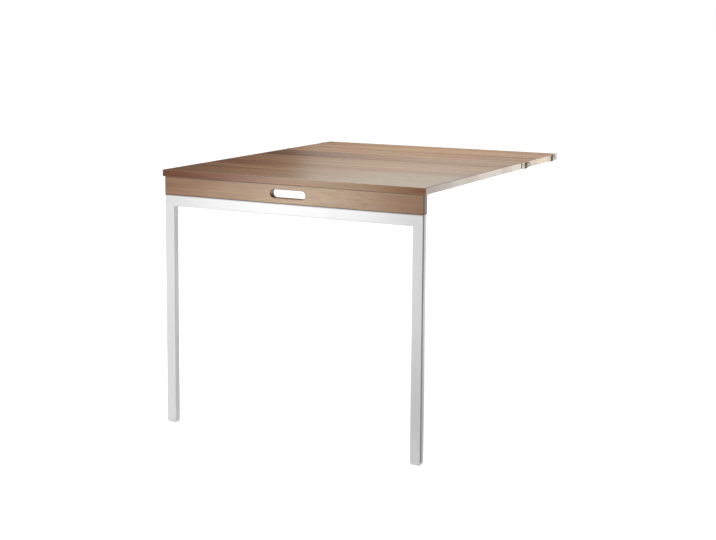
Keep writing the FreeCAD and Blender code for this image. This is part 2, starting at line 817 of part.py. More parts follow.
def leg_hinge_screws():
    """The screws of the leg hinges: into the apron above, and into the rail's wall below."""
    spots = [
        Vector(number(x), number("Places.leg_screw_row"), number("Places.curl_inner"))
        for x in leg_hinge_screw_row()
    ]
    for name, turn, length in (
        ("apron_wing_screws", UPWARD_WING, "Sizes.screw_length"),
        ("rail_wing_screws", DOWNWARD_WING, "Sizes.rail_screw_length"),
    ):
        screws = [screw(spot, Vector(0, 0, 1), length) for spot in spots]
        group(name, screws, "0", "Places.leg_axis_depth", "Places.apron_bottom", turn)


def hook_screws():
    """Two screws up into the shelf through each rung hook's flange."""
    screws = []
    for side, depth in HOOKS.values():
        for hole in HOOK_HOLES:
            x = side * number(f"Places.half_width + {hole}")
            spot = Vector(x, number(depth), -number("Sizes.hook_thickness"))
            screws.append(screw(spot, Vector(0, 0, 1)))
    group("hook_screws", screws, "0", "0", "Places.underside")


def dowels():
    """Glued wooden dowels, upright between the apron and the leaf."""
    radius = number("Sizes.dowel_radius")
    length = number("Sizes.dowel_length")
    bottom = number("Sizes.dowel_depth_in_leaf") - length
    solids = [Part.makeCylinder(radius, length, Vector(number(x), 0, bottom)) for x in DOWEL_XS]
    group("apron_dowels", solids, "0", "Places.apron_back - Sizes.apron_thickness / 2", "Places.underside")


def rest_pads():
    """Two rubber pads under the leaf, which the folded feet lie against."""
    radius = number("Sizes.pad_radius")
    height = number("Sizes.pad_height")
    for name, sign in (("left_rest_pad", -1), ("right_rest_pad", 1)):
        disc = Part.makeCylinder(radius, height, Vector(0, 0, -height))
        group(name, [disc], f"{sign} * Places.leg_centre", "Places.pad_depth", "Places.underside")


# ---- the table --------------------------------------------------------------------------------

fixed_shelf()
drop_leaf()
apron()
for hook_name, (hook_side, hook_depth) in HOOKS.items():
    rung_hook(hook_name, hook_side, hook_depth)
leaf_hinge()
leg_hinges()
top_rail()
leg("left_leg", -1)
leg("right_leg", 1)
foot("left_foot", -1)
foot("right_foot", 1)
leaf_hinge_screws()
leg_hinge_screws()
hook_screws()
dowels()
rest_pads()
doc.recompute()

for thing in doc.Objects:
    if "Invalid" in thing.State or "Error" in thing.State:
        raise RuntimeError(f"{thing.Name} failed: {thing.State}")
for piece in pieces:
    if piece.Shape.isNull() or not piece.Shape.isValid():
        raise RuntimeError(f"{piece.Label} has no valid shape")

os.makedirs("parts", exist_ok=True)
for piece in pieces:
    piece.Shape.exportStep(f"parts/{piece.Label}.step")
    print(f"{piece.Label}: {len(piece.Shape.Solids)} solid(s), {piece.Shape.Volume:.1f} mm3")
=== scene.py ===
import math

import bmesh
import bpy
from mathutils import Matrix, Vector


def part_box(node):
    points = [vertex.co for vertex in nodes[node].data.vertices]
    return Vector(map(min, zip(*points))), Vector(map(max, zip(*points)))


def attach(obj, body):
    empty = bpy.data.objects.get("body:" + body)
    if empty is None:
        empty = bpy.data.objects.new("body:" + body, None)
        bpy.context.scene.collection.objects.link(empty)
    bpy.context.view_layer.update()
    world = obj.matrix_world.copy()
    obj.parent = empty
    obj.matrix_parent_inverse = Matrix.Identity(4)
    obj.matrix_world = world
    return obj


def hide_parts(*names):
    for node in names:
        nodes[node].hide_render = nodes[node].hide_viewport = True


# The wall-hung table dressed for the studio: veneered boards, white powder-coated tube,
# zinc-plated hinges and countersunk screws. Metres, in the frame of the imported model.

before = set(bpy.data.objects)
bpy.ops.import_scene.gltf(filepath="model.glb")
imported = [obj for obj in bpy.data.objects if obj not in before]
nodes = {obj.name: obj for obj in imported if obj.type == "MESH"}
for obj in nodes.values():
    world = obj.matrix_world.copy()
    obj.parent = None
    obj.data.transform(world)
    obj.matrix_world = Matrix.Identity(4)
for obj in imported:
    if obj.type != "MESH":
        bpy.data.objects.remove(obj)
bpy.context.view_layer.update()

# ---- sizes and colours ------------------------------------------------------------------------

PICTURE_WIDTH = 716
MILLIMETRE = 0.001

LEAF_LOW, LEAF_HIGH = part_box("drop_leaf")
LEG_LOW, LEG_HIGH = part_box("right_leg")
HOOK_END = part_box("front_right_rung_hook")[1].x

# The camera: where it stands, how it is turned, and its lens, as a focal length for this picture width.
CAMERA_PLACE = Vector((1.763, -3.530, 1.125))
CAMERA_HEADING = math.radians(30.05)
CAMERA_TILT = math.radians(7.09)
CAMERA_ROLL = math.radians(0.06)
FOCAL_LENGTH_PX = 1379.1
CAMERA_SHIFT = (0.10, -0.12)
SENSOR_WIDTH_MM = 36.0

# The room: its level for diffuse light, and its left side, which mirrors show as dim, so that the
# veneer keeps its own colour. The spans are of the cosine from that side, and of X on the floor.
ROOM_LEVEL = 0.36
DIM_SIDE = Vector((-1.0, 0.0, 0.1))
DIM_SIDE_LEVEL = 0.05
DIM_SIDE_SPAN = (0.0, 0.4)
DIM_FLOOR_SPAN = (-1.5, 0.5)

# The floor: how pale it is, how far it reaches, and how white it shows near the table and beyond it.
FLOOR_PALE = 0.80
FLOOR_HALF = 15.0
FLOOR_GLOW_NEAR = 0.62
FLOOR_GLOW_FAR = 0.80
FLOOR_GLOW_REACH = (0.8, 3.0)

# Each softbox: its name, its place, the point it faces, its width and height, its power in watts, and
# whether glossy faces mirror it. Two of them would glare on the top, seen from the far side.
SOFTBOXES = (
    ("low front strip", (-1.48, -3.20, 0.33), (0.00, -0.45, 0.65), 0.6, 0.6, 15.0, True),
    ("front softbox", (-2.50, -3.10, 1.60), (0.00, -0.45, 0.50), 1.4, 1.4, 34.0, False),
    ("right softbox", (1.50, 1.30, 1.00), (0.39, -0.20, 0.50), 0.8, 0.8, 17.4, False),
    ("rear strip", (-0.91, 3.20, 1.70), (0.30, -0.40, 0.70), 2.0, 0.9, 5.2, True),
    ("overhead softbox", (-0.30, 0.00, 3.00), (0.00, 0.00, 0.70), 2.0, 2.0, 55.0, True),
)

# The wood: the colours of its darkest, middle and lightest figure, and the warm and cool tints over it.
WALNUT_DARK = (0.125, 0.062, 0.034)
WALNUT_MIDDLE = (0.292, 0.171, 0.106)
WALNUT_LIGHT = (0.457, 0.328, 0.211)
GOLDEN_LIGHT = (0.520, 0.358, 0.200)
WARM_TINT = (1.10, 0.98, 0.80)
COOL_TINT = (0.93, 1.00, 1.10)
STAVE_WIDTH = 85.0 * MILLIMETRE
PITH_DEPTH = (-0.78, -0.62)
# How fast the painted light and shade swell and sink along the grain, in radians per metre.
DRIFT_TURN = 5.2

# How much each part of the figure lightens or darkens a face, and how much it darkens an end.
RING_WEIGHT, BROAD_WEIGHT, STREAK_WEIGHT, FIBRE_WEIGHT, TONE_WEIGHT = 0.55, 0.60, 0.75, 0.35, 0.24
END_RING_WEIGHT, END_BROAD_WEIGHT, END_TONE_WEIGHT, END_DOT_WEIGHT = 0.35, 0.25, 0.30, 0.08
END_FIGURE = 0.42
PORE_DARKNESS = 0.45

# Sanded end grain, made paler still with painted light. The leaf's ends turn grey towards its free edge with
# painted shade, over this span of Y.
LEAF_END_WITH_PAINTED_LIGHT = (0.900, 0.830, 0.740)
LEAF_END_FRONT_PAINTED_SHADE = (0.665, 0.630, 0.590)
END_FRONT_SPAN = (-0.45, -0.24)
SHELF_END_WITH_PAINTED_LIGHT = (0.780, 0.680, 0.520)
APRON_END = (0.235, 0.200, 0.175)

# The long edges: the tint of their veneer, and the painted shade towards the ends of the leaf's edge, as
# spans of X.
LEAF_EDGE_TINT = (0.87, 0.63, 0.33)
LEAF_EDGE_PAINTED_SHADE = (0.80, 0.54, 0.24)
PAINTED_EDGE_SHADE_LEFT_SPAN = (0.05, -0.20)
PAINTED_EDGE_SHADE_RIGHT_SPAN = (0.22, 0.37)
# The shelf's long edges: a darker veneer, darkened further with painted shade for the edge in the seam.
SHELF_EDGE_PAINTED_SHADE = (0.45, 0.36, 0.28)

# The painted sheen that lightens the top towards one corner, and how far that reaches.
PAINTED_SHEEN_COLOUR = (0.500, 0.430, 0.340)
PAINTED_SHEEN_CORNER = Vector((LEAF_HIGH.x, LEAF_LOW.y, LEAF_HIGH.z))
PAINTED_SHEEN_REACH = (0.12, 0.42)

# How thick the face veneer and the lippings of the long edges are, and how high the shade in a joint.
FACE_VENEER = 1.0 * MILLIMETRE
LIPPING = 3.0 * MILLIMETRE
JOINT_SHADE = 3.0 * MILLIMETRE
# The painted shade in the wood's joints and down its outer front corners.
PAINTED_SHADE_DARK = (0.040, 0.032, 0.028)

# The painted shade line down the outer front corners: how far back it goes, and from which X on it is drawn.
PAINTED_SHADE_LINE_DEPTH = 6.5 * MILLIMETRE
PAINTED_SHADE_LINE_OUTER = LEG_HIGH.x - 3.0 * MILLIMETRE

# A face counts as turned along an axis from here on, and a chamfer ends before it.
TURNED = (0.80, 0.92)
CHAMFERED = (0.35, 0.55)

# The coat, and how much a painted highlight lightens the rail's middle, over this span of X.
WHITE_COAT = (0.820, 0.820, 0.823)
# The painted shade down the coat's outer front corners.
PAINTED_SHADE_GREY = (0.250, 0.250, 0.250)
RAIL_PAINTED_HIGHLIGHT = 0.13
RAIL_PAINTED_HIGHLIGHT_SPAN = (0.22, 0.375)
# The painted shade on the legs, as shares of their colour: all round, between these heights and less near the
# floor, and on faces turned sideways from higher up. The left leg has only a part of it.
LEG_PAINTED_SHADE = 0.20
LEG_PAINTED_SHADE_HEIGHTS = (0.45, 0.12)
LEG_PAINTED_SHADE_AT_FLOOR = 0.3
SIDE_PAINTED_SHADE = 0.25
SIDE_PAINTED_SHADE_HEIGHTS = (0.62, 0.30)
LEFT_LEG_SHARE = 0.28
LEG_SHARE_SPAN = (-0.35, 0.35)
FOOT_WHITE = (0.800, 0.800, 0.795)
PAD_BLACK = (0.030, 0.030, 0.032)

ZINC = (0.640, 0.650, 0.670)
ZINC_DULL = (0.470, 0.475, 0.490)
HOOK_STEEL = (0.065, 0.053, 0.043)
HOOK_STEEL_WORN = (0.160, 0.138, 0.115)
# A painted highlight on the hooks' tips, over this span of X.
HOOK_TIP_PAINTED_HIGHLIGHT = (0.420, 0.390, 0.350)
TIP_PAINTED_HIGHLIGHT_SPAN = (HOOK_END - 4.0 * MILLIMETRE, HOOK_END - 2.0 * MILLIMETRE)


# ---- small helpers for node trees ---------------------------------------------------------------


class Graph:
    """Adds nodes to a tree and joins them, so that a material reads from its source to its shader."""

    def __init__(self, tree):
        self.tree = tree

    def add(self, kind, **settings):
        node = self.tree.nodes.new(kind)
        for name, value in settings.items():
            setattr(node, name, value)
        return node

    def join(self, source, target):
        self.tree.links.new(source, target)

    def feed(self, node, **inputs):
        """Sets or joins a node's inputs by name, with _ for a space in the name."""
        for name, value in inputs.items():
            socket = node.inputs[name.replace("_", " ")]
            if isinstance(value, bpy.types.NodeSocket):
                self.join(value, socket)
            else:
                socket.default_value = value
        return node

    def math(self, operation, first, second=None, third=None, clamp=False):
        node = self.add("ShaderNodeMath", operation=operation, use_clamp=clamp)
        for index, value in enumerate((first, second, third)):
            if value is None:
                continue
            if isinstance(value, bpy.types.NodeSocket):
                self.join(value, node.inputs[index])
            else:
                node.inputs[index].default_value = value
        return node.outputs[0]

    def span(self, value, low, high, out_low=0.0, out_high=1.0, smooth=False):
        """Maps a value from one range to another and keeps it there."""
        node = self.add("ShaderNodeMapRange", clamp=True)
        if smooth:
            node.interpolation_type = "SMOOTHSTEP"
        self.join(value, node.inputs["Value"])
        for name, number in zip(("From Min", "From Max", "To Min", "To Max"), (low, high, out_low, out_high)):
            if isinstance(number, bpy.types.NodeSocket):
                self.join(number, node.inputs[name])
            else:
                node.inputs[name].default_value = number
        return node.outputs["Result"]

    def blend(self, factor, first, second, kind="MIX"):
        """Mixes two colours."""
        node = self.add("ShaderNodeMix", data_type="RGBA", blend_type=kind, clamp_factor=True)
        for socket, value in ((node.inputs[0], factor), (node.inputs[6], first), (node.inputs[7], second)):
            if isinstance(value, bpy.types.NodeSocket):
                self.join(value, socket)
            elif isinstance(value, tuple):
                socket.default_value = (*value, 1.0)
            else:
                socket.default_value = value
        return node.outputs[2]

    def weigh(self, *parts):
        """Adds up values, each times its weight."""
        total = 0.0
        for value, weight in parts:
            total = self.math("ADD", total, self.math("MULTIPLY", value, weight))
        return total

    def noise(self, vector, scale, detail=3.0, roughness=0.5):
        node = self.add("ShaderNodeTexNoise")
        self.feed(node, Vector=vector, Scale=scale, Detail=detail, Roughness=roughness)
        return node.outputs["Fac"]

    def noise_line(self, distance, scale, detail=2.0, roughness=0.5):
        """Noise along one number."""
        node = self.add("ShaderNodeTexNoise", noise_dimensions="1D")
        self.feed(node, W=distance, Scale=scale, Detail=detail, Roughness=roughness)
        return node.outputs["Fac"]

    def stretch(self, vector, x, y, z):
        node = self.add("ShaderNodeMapping")
        self.join(vector, node.inputs["Vector"])
        node.inputs["Scale"].default_value = (x, y, z)
        return node.outputs["Vector"]

    def along(self, vector, axis):
        node = self.add("ShaderNodeSeparateXYZ")
        self.join(vector, node.inputs[0])
        return node.outputs[axis]


def new_group(name, inputs, outputs):
    """A shader node group with named sockets: {name: default}, where a tuple is a colour."""
    tree = bpy.data.node_groups.new(name, "ShaderNodeTree")
    for socket_name, default in inputs.items():
        if default is None:
            tree.interface.new_socket(socket_name, in_out="INPUT", socket_type="NodeSocketVector")
        elif isinstance(default, Vector):
            socket = tree.interface.new_socket(socket_name, in_out="INPUT", socket_type="NodeSocketVector")
            socket.default_value = default
        elif isinstance(default, tuple):
            socket = tree.interface.new_socket(socket_name, in_out="INPUT", socket_type="NodeSocketColor")
            socket.default_value = (*default, 1.0)
        else:
            socket = tree.interface.new_socket(socket_name, in_out="INPUT", socket_type="NodeSocketFloat")
            socket.default_value = default
    for socket_name, kind in outputs.items():
        tree.interface.new_socket(socket_name, in_out="OUTPUT", socket_type=kind)
    graph = Graph(tree)
    entry = graph.add("NodeGroupInput")
    leave = graph.add("NodeGroupOutput")
    return tree, graph, entry.outputs, leave.inputs


def place_group(graph, tree, **inputs):
    node = graph.add("ShaderNodeGroup", node_tree=tree)
    for name, value in inputs.items():
        socket = node.inputs[name.replace("_", " ")]
        if isinstance(value, bpy.types.NodeSocket):
            graph.join(value, socket)
        elif isinstance(value, tuple):
            socket.default_value = (*value, 1.0)
        else:
            socket.default_value = value
    return node


# ---- effects shared by several materials ----------------------------------------------------------


def painted_corner_shade():
    """Where the painted shade line lies that runs down the outer front corners of the apron and the legs."""
    tree, graph, given, result = new_group(
        "Painted corner shade",
        {
            "Place": None,
            "Facing": None,
            "Outer": PAINTED_SHADE_LINE_OUTER,
            "Front": LEG_LOW.y,
            "Depth": PAINTED_SHADE_LINE_DEPTH,
        },
        {"Line": "NodeSocketFloat"},
    )
    sideways = graph.math("ABSOLUTE", graph.along(given["Place"], "X"))
    past_outer = graph.math("DIVIDE", graph.math("SUBTRACT", sideways, given["Outer"]), MILLIMETRE)
    behind_front = graph.math("SUBTRACT", graph.along(given["Place"], "Y"), given["Front"])
    share = graph.math("DIVIDE", behind_front, given["Depth"])
    turned = graph.math("ABSOLUTE", graph.along(given["Facing"], "X"))
    line = graph.math("MULTIPLY", graph.span(past_outer, 0.0, 1.0), graph.span(share, 0.8, 1.2, 1.0, 0.0))
    graph.join(graph.math("MULTIPLY", line, graph.span(turned, 0.25, 0.60)), result["Line"])
    return tree


def wood_figure():
    """Staves of wood with their grain along X: growth rings, fibre, pores, and end grain on X faces, with
    painted light and shade laid over them.
    """
    tree, graph, given, result = new_group(
        "Wood figure",
        {
            "Place": None,
            "Facing": None,
            "Dark": WALNUT_DARK,
            "Middle": WALNUT_MIDDLE,
            "Light": WALNUT_LIGHT,
            "End": LEAF_END_WITH_PAINTED_LIGHT,
            "End Front": LEAF_END_FRONT_PAINTED_SHADE,
            "Bleach": 0.0,
            "Edge Tint": (1.0, 1.0, 1.0),
            "Edge Worn": (1.0, 1.0, 1.0),
            "Joint Shade": 0.0,
            "Corner Line": 0.0,
            "Low Corner": Vector((-1.0, -1.0, -1.0)),
            "High Corner": Vector((1.0, 1.0, 1.0)),
            "Stave Width": STAVE_WIDTH,
            "Ring Spacing": 0.004,
            "Seed": 0.0,
            "Warmth": 0.5,
            "Warmth Slope": 0.0,
            "Warmth Limit": 1.0,
            "Tone": 0.5,
            "Tone Slope": 0.0,
            "Drift": 0.15,
            "Drift Phase": 0.0,
            "Wander": 0.05,
        },
        {"Color": "NodeSocketColor", "Height": "NodeSocketFloat", "Roughness Change": "NodeSocketFloat"},
    )
    place = given["Place"]
    x, y, z = (graph.along(place, axis) for axis in "XYZ")

    # Each stave is a strip along X of its own tone, cut from its own part of a tree.
    strips = graph.add("ShaderNodeTexVoronoi", voronoi_dimensions="1D", feature="F1")
    shifted = graph.math("ADD", graph.math("DIVIDE", y, given["Stave Width"]), given["Seed"])
    graph.feed(strips, W=shifted, Scale=1.0, Randomness=0.45)
    own = graph.add("ShaderNodeSeparateColor")
    graph.join(strips.outputs["Color"], own.inputs[0])
    tone, pith_y, pith_z = own.outputs[0], own.outputs[1], own.outputs[2]

    # The rings lie round a pith below or above the board, which wanders slowly along the grain.
    wander = graph.noise(graph.stretch(place, 1.1, 4.0, 4.0), 1.6, detail=2.0, roughness=0.45)
    bend = graph.math("MULTIPLY", graph.math("SUBTRACT", wander, 0.5), given["Wander"])
    across = graph.math("ADD", graph.math("ADD", y, graph.math("MULTIPLY", pith_y, 0.20)), bend)
    depth = graph.math("ADD", graph.math("ADD", z, graph.span(pith_z, 0.0, 1.0, *PITH_DEPTH)), bend)
    squares = graph.math("ADD", graph.math("MULTIPLY", across, across), graph.math("MULTIPLY", depth, depth))
    radius = graph.math("SQRT", squares)
    ring_place = graph.math("DIVIDE", radius, given["Ring Spacing"])
    ring_place = graph.math("ADD", ring_place, graph.math("MULTIPLY", tone, 37.0))
    rings = graph.noise_line(ring_place, 1.0, detail=2.0, roughness=0.6)
    broad = graph.noise_line(ring_place, 0.11, detail=1.0, roughness=0.5)

    # Fibre runs along the grain in hair-thin streaks, and pores are short dark dashes in it.
    fibre = graph.noise(graph.stretch(place, 5.0, 700.0, 700.0), 1.0, detail=4.0, roughness=0.65)
    streak = graph.noise(graph.stretch(place, 1.6, 90.0, 90.0), 1.0, detail=3.0, roughness=0.6)
    pore_field = graph.noise(graph.stretch(place, 55.0, 1500.0, 1500.0), 1.0, detail=1.0, roughness=0.5)
    pores = graph.span(pore_field, 0.62, 0.72)

    # The level of the figure swings round the tone. Over that lie painted light and shade: the drift along X
    # and the tone slope across the board make it lighter where the lamps' sheen falls and darker away from
    # it.
    crosswise = graph.math("SUBTRACT", y, x)
    turned = graph.math("ADD", graph.math("MULTIPLY", x, DRIFT_TURN), given["Drift Phase"])
    swell = graph.math("COSINE", turned)
    shade = graph.weigh(
        (graph.math("SUBTRACT", rings, 0.5), RING_WEIGHT),
        (graph.math("SUBTRACT", broad, 0.5), BROAD_WEIGHT),
        (graph.math("SUBTRACT", streak, 0.5), STREAK_WEIGHT),
        (graph.math("SUBTRACT", fibre, 0.5), FIBRE_WEIGHT),
        (graph.math("SUBTRACT", tone, 0.5), TONE_WEIGHT),
        (crosswise, given["Tone Slope"]),
        (swell, given["Drift"]),
    )
    level = graph.math("ADD", shade, given["Tone"], clamp=True)

    dark_part = graph.span(level, 0.0, 0.5)
    light_part = graph.span(level, 0.5, 1.0)
    face_colour = graph.blend(dark_part, given["Dark"], given["Middle"])
    face_colour = graph.blend(light_part, face_colour, given["Light"])
    warm = graph.blend(1.0, face_colour, WARM_TINT, "MULTIPLY")
    cool = graph.blend(1.0, face_colour, COOL_TINT, "MULTIPLY")
    hue = graph.math("ADD", given["Warmth"], graph.math("MULTIPLY", graph.math("SUBTRACT", pith_y, 0.5), 0.5))
    # Painted sheen: the warmth slope cools the colour where the lamps' sheen greys the top, towards the front
    # right.
    hue = graph.math("ADD", hue, graph.math("MULTIPLY", crosswise, given["Warmth Slope"]))
    hue = graph.math("MINIMUM", hue, given["Warmth Limit"], clamp=True)
    face_colour = graph.blend(hue, cool, warm)
    face_colour = graph.blend(graph.math("MULTIPLY", pores, PORE_DARKNESS), face_colour, given["Dark"])

    # Painted sheen lightens the top towards one corner.
    from_corner = graph.add("ShaderNodeVectorMath", operation="DISTANCE")
    graph.join(place, from_corner.inputs[0])
    from_corner.inputs[1].default_value = PAINTED_SHEEN_CORNER
    painted_sheen = graph.span(from_corner.outputs["Value"], *PAINTED_SHEEN_REACH, 1.0, 0.0, smooth=True)
    painted_sheen = graph.math("MULTIPLY", painted_sheen, given["Bleach"])
    painted_sheen = graph.math("MULTIPLY", painted_sheen, graph.span(graph.along(given["Facing"], "Z"), *TURNED))
    face_colour = graph.blend(painted_sheen, face_colour, PAINTED_SHEEN_COLOUR)

    # The long edges carry a strip of veneer of their own shade, darkened on the shelf with painted shade for
    # its edge in the seam, and on the leaf with painted shade towards both ends.
    facing_y = graph.math("ABSOLUTE", graph.along(given["Facing"], "Y"))
    strip_colour = graph.blend(1.0, face_colour, given["Edge Tint"], "MULTIPLY")
    shaded_left = graph.span(x, *PAINTED_EDGE_SHADE_LEFT_SPAN, smooth=True)
    edge_shade = graph.math("MAXIMUM", shaded_left, graph.span(x, *PAINTED_EDGE_SHADE_RIGHT_SPAN))
    strip_colour = graph.blend(edge_shade, strip_colour, given["Edge Worn"], "MULTIPLY")
    face_colour = graph.blend(graph.span(facing_y, *TURNED), face_colour, strip_colour)

    # On the ends the same rings show in section, sanded pale and made paler with painted light, with open
    # pores as dots.
    dots = graph.noise(graph.stretch(place, 300.0, 1300.0, 1300.0), 1.0, detail=1.0)
    end_shade = graph.weigh(
        (rings, END_RING_WEIGHT), (broad, END_BROAD_WEIGHT), (tone, END_TONE_WEIGHT), (dots, END_DOT_WEIGHT)
    )
    # On the leaf this is painted shade that greys its ends towards the free edge.
    end_base = graph.blend(graph.span(y, *END_FRONT_SPAN), given["End Front"], given["End"])
    end_colour = graph.blend(graph.span(end_shade, 0.30, 0.80, END_FIGURE, 0.0), end_base, given["Middle"])

    # There the face veneer and the lippings show in section, as thin dark lines round the core.
    from_low = graph.add("ShaderNodeVectorMath", operation="SUBTRACT")
    graph.join(place, from_low.inputs[0])
    graph.join(given["Low Corner"], from_low.inputs[1])
    to_high = graph.add("ShaderNodeVectorMath", operation="SUBTRACT")
    graph.join(given["High Corner"], to_high.inputs[0])
    graph.join(place, to_high.inputs[1])
    nearest = graph.add("ShaderNodeVectorMath", operation="MINIMUM")
    graph.join(from_low.outputs[0], nearest.inputs[0])
    graph.join(to_high.outputs[0], nearest.inputs[1])
    below_face = graph.math("DIVIDE", graph.along(nearest.outputs[0], "Z"), FACE_VENEER)
    behind_edge = graph.math("DIVIDE", graph.along(nearest.outputs[0], "Y"), LIPPING)
    core = graph.span(graph.math("MINIMUM", below_face, behind_edge), 0.85, 1.15)
    line_colour = graph.blend(0.5, given["Dark"], given["Middle"])
    end_colour = graph.blend(core, line_colour, end_colour)
    facing_x = graph.math("ABSOLUTE", graph.along(given["Facing"], "X"))
    whole_colour = graph.blend(graph.span(facing_x, *CHAMFERED), face_colour, line_colour)
    whole_colour = graph.blend(graph.span(facing_x, *TURNED), whole_colour, end_colour)

    # Painted shade: a board that stands between two others has a line of shade at each joint, and a dark line
    # down its outer front corners.
    joint = graph.span(graph.along(nearest.outputs[0], "Z"), 0.0, JOINT_SHADE, 1.0, 0.0)
    joint = graph.math("MULTIPLY", joint, given["Joint Shade"])
    whole_colour = graph.blend(joint, whole_colour, PAINTED_SHADE_DARK)
    line = place_group(graph, PAINTED_CORNER_SHADE, Place=place, Facing=given["Facing"])
    at_corner = graph.math("MULTIPLY", line.outputs["Line"], given["Corner Line"])
    graph.join(graph.blend(at_corner, whole_colour, PAINTED_SHADE_DARK), result["Color"])

    graph.join(graph.weigh((fibre, 0.35), (rings, 0.25), (pores, -0.55)), result["Height"])
    graph.join(graph.weigh((streak, 0.16), (pores, 0.15)), result["Roughness Change"])
    return tree


def coating_skin():
    """The skin of a sprayed or moulded surface: fine orange peel, faint clouding and handling marks, with
    painted shade and a painted highlight where asked.
    """
    tree, graph, given, result = new_group(
        "Coating skin",
        {
            "Place": None,
            "Facing": None,
            "Color": WHITE_COAT,
            "Peel Scale": 900.0,
            "Clouding": 0.02,
            "Marks": 0.02,
            "Low Soil": 0.0,
            "Side Soil": 0.0,
            "Middle Lift": 0.0,
            "Corner Line": 0.0,
        },
        {"Color": "NodeSocketColor", "Height": "NodeSocketFloat", "Roughness Change": "NodeSocketFloat"},
    )
    place = given["Place"]
    peel = graph.add("ShaderNodeTexNoise")
    graph.feed(peel, Vector=place, Scale=given["Peel Scale"], Detail=2.0, Roughness=0.45)
    cloud = graph.noise(place, 7.0, detail=3.0, roughness=0.55)
    scuff = graph.noise(graph.stretch(place, 60.0, 60.0, 9.0), 1.0, detail=5.0, roughness=0.7)
    scuffs = graph.span(scuff, 0.60, 0.78)
    dim = graph.math("MULTIPLY", graph.math("SUBTRACT", cloud, 0.5), given["Clouding"])
    dim = graph.math("SUBTRACT", 1.0, graph.math("ADD", dim, graph.math("MULTIPLY", scuffs, given["Marks"])))
    # Painted shade darkens it towards the floor, most of all on the right and on faces turned sideways.
    height = graph.along(place, "Z")
    spared = graph.span(height, 0.0, LEG_PAINTED_SHADE_HEIGHTS[1], LEG_PAINTED_SHADE_AT_FLOOR, 1.0, smooth=True)
    low_shade = graph.math("MULTIPLY", graph.span(height, *LEG_PAINTED_SHADE_HEIGHTS, smooth=True), spared)
    low_shade = graph.math("MULTIPLY", low_shade, given["Low Soil"])
    facing_x = graph.math("ABSOLUTE", graph.along(given["Facing"], "X"))
    to_side = graph.math("MULTIPLY", graph.span(facing_x, *TURNED), given["Side Soil"])
    side_shade = graph.math("MULTIPLY", graph.span(height, *SIDE_PAINTED_SHADE_HEIGHTS), to_side)
    share = graph.span(graph.along(place, "X"), *LEG_SHARE_SPAN, LEFT_LEG_SHARE, 1.0)
    dim = graph.math("SUBTRACT", dim, graph.math("MULTIPLY", graph.math("ADD", low_shade, side_shade), share))
    # Painted highlight: the coat is lighter towards the middle of a long level tube, where the lamps' sheen
    # falls on it.
    sideways = graph.math("ABSOLUTE", graph.along(place, "X"))
    middle = graph.span(sideways, *RAIL_PAINTED_HIGHLIGHT_SPAN, 1.0, 0.0, smooth=True)
    dim = graph.math("ADD", dim, graph.math("MULTIPLY", middle, given["Middle Lift"]))
    scale = graph.add("ShaderNodeCombineColor")
    for channel in range(3):
        graph.join(dim, scale.inputs[channel])
    colour = graph.blend(1.0, given["Color"], scale.outputs[0], "MULTIPLY")
    # Painted shade: a grey line down the outer front corners.
    line = place_group(graph, PAINTED_CORNER_SHADE, Place=place, Facing=given["Facing"])
    at_corner = graph.math("MULTIPLY", line.outputs["Line"], given["Corner Line"])
    graph.join(graph.blend(at_corner, colour, PAINTED_SHADE_GREY), result["Color"])
    graph.join(peel.outputs["Fac"], result["Height"])
    change = graph.math("SUBTRACT", graph.math("MULTIPLY", scuffs, 0.18), graph.math("MULTIPLY", cloud, 0.08))
    graph.join(change, result["Roughness Change"])
    return tree


def metal_skin():
    """The skin of rolled and plated steel: fine lines from rolling, blotches of the plating, dull spots."""
    tree, graph, given, result = new_group(
        "Metal skin",
        {"Place": None, "Bright": ZINC, "Dull": ZINC_DULL, "Blotch Scale": 220.0, "Line Scale": 2200.0},
        {"Color": "NodeSocketColor", "Height": "NodeSocketFloat", "Roughness Change": "NodeSocketFloat"},
    )
    place = given["Place"]
    lines = graph.add("ShaderNodeTexNoise")
    graph.feed(lines, Vector=graph.stretch(place, 0.02, 1.0, 1.0), Scale=given["Line Scale"], Detail=3.0)
    blotch = graph.add("ShaderNodeTexVoronoi", feature="SMOOTH_F1")
    graph.feed(blotch, Vector=place, Scale=given["Blotch Scale"], Randomness=1.0)
    cloud = graph.noise(place, 35.0, detail=4.0, roughness=0.6)
    dullness = graph.math("MULTIPLY", blotch.outputs["Distance"], 0.55)
    dullness = graph.math("ADD", dullness, graph.math("MULTIPLY", cloud, 0.45), clamp=True)
    graph.join(graph.blend(dullness, given["Bright"], given["Dull"]), result["Color"])
    graph.join(lines.outputs["Fac"], result["Height"])
    change = graph.math("SUBTRACT", graph.math("MULTIPLY", dullness, 0.20), 0.05)
    graph.join(change, result["Roughness Change"])
    return tree


PAINTED_CORNER_SHADE = painted_corner_shade()
WOOD_FIGURE = wood_figure()
COATING_SKIN = coating_skin()
METAL_SKIN = metal_skin()


# ---- materials ------------------------------------------------------------------------------------


def start_material(name):
    """A material with a shader, its output and the object's own coordinates."""
    material = bpy.data.materials.new(name)
    material.use_nodes = True
    graph = Graph(material.node_tree)
    material.node_tree.nodes.clear()
    shader = graph.add("ShaderNodeBsdfPrincipled")
    output = graph.add("ShaderNodeOutputMaterial")
    graph.join(shader.outputs[0], output.inputs[0])
    coordinates = graph.add("ShaderNodeTexCoord")
    return material, graph, shader, coordinates


def bump(graph, shader, height, distance, strength):
    node = graph.add("ShaderNodeBump")
    graph.feed(node, Height=height, Distance=distance, Strength=strength)
    graph.join(node.outputs["Normal"], shader.inputs["Normal"])


